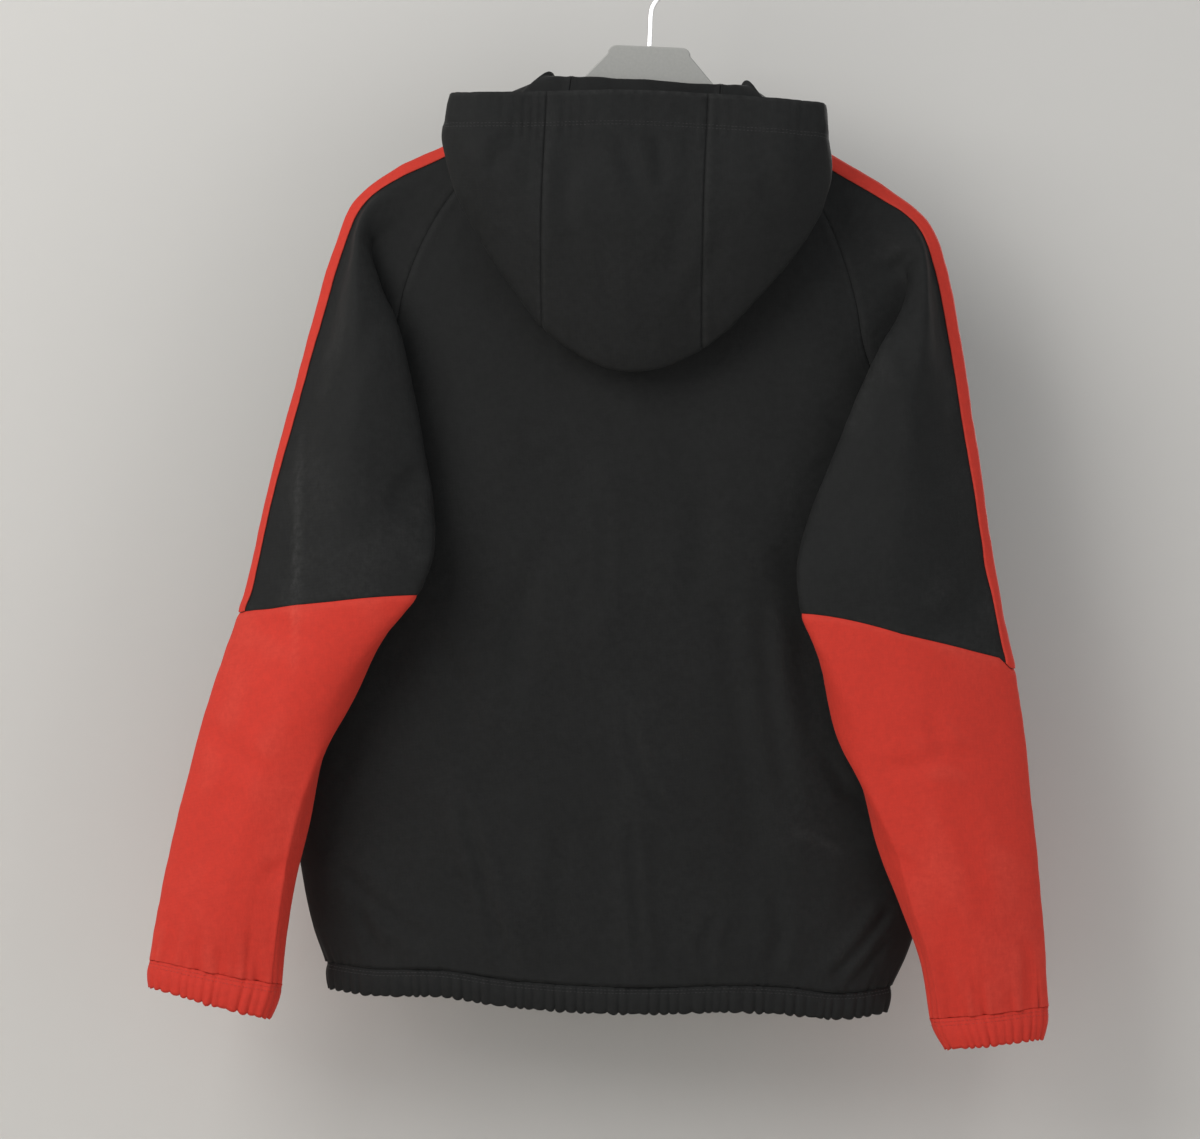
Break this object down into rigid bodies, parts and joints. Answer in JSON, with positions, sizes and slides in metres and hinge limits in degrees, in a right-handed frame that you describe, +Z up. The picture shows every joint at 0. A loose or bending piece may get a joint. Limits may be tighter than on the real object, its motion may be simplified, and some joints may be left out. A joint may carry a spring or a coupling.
{
  "type": "hooded windbreaker on a hanger",
  "caption": "Black and red hooded raglan windbreaker with elasticated cuffs and hem, hanging on a grey plastic hanger and seen from its back",
  "frame": {"origin": "inside top of the hanger's hook, where a rail carries it", "axes": "metres, +Z up, +X to the right of someone who looks at the jacket's back, +Y towards its zipped front"},
  "size_m": [0.7233, 0.1396, 0.8785],
  "materials": {
    "black_cloth": "matte woven",
    "red_cloth": "matte woven",
    "zip_plastic": "matte",
    "zip_metal": "satin",
    "grey_plastic": "satin",
    "chrome_wire": "polished"
  },
  "bodies": {
    "jacket": {"back_panel": "black_cloth", "front_left": "black_cloth", "front_right": "black_cloth", "sleeve_left_upper": "black_cloth", "sleeve_right_upper": "black_cloth", "sleeve_left_lower": "red_cloth", "sleeve_right_lower": "red_cloth", "stripe_left": "red_cloth", "stripe_right": "red_cloth", "cuff_left": "red_cloth", "cuff_right": "red_cloth", "hem_band": "black_cloth", "hood_centre": "black_cloth", "hood_left": "black_cloth", "hood_right": "black_cloth", "zip_tape": "zip_plastic", "zip_slider": "zip_metal", "hanger_plate": "grey_plastic", "hanger_hook": "chrome_wire"},
    "zip_pull": {"zip_pull": "zip_metal"}
  },
  "joints": [
    {"name": "zip_pull_hinge", "type": "hinge", "parent": "jacket", "child": "zip_pull", "pos_m": [0, 0.03869, -0.14152], "axis": [1, 0, 0], "range_deg": [-8, 150]}
  ]
}
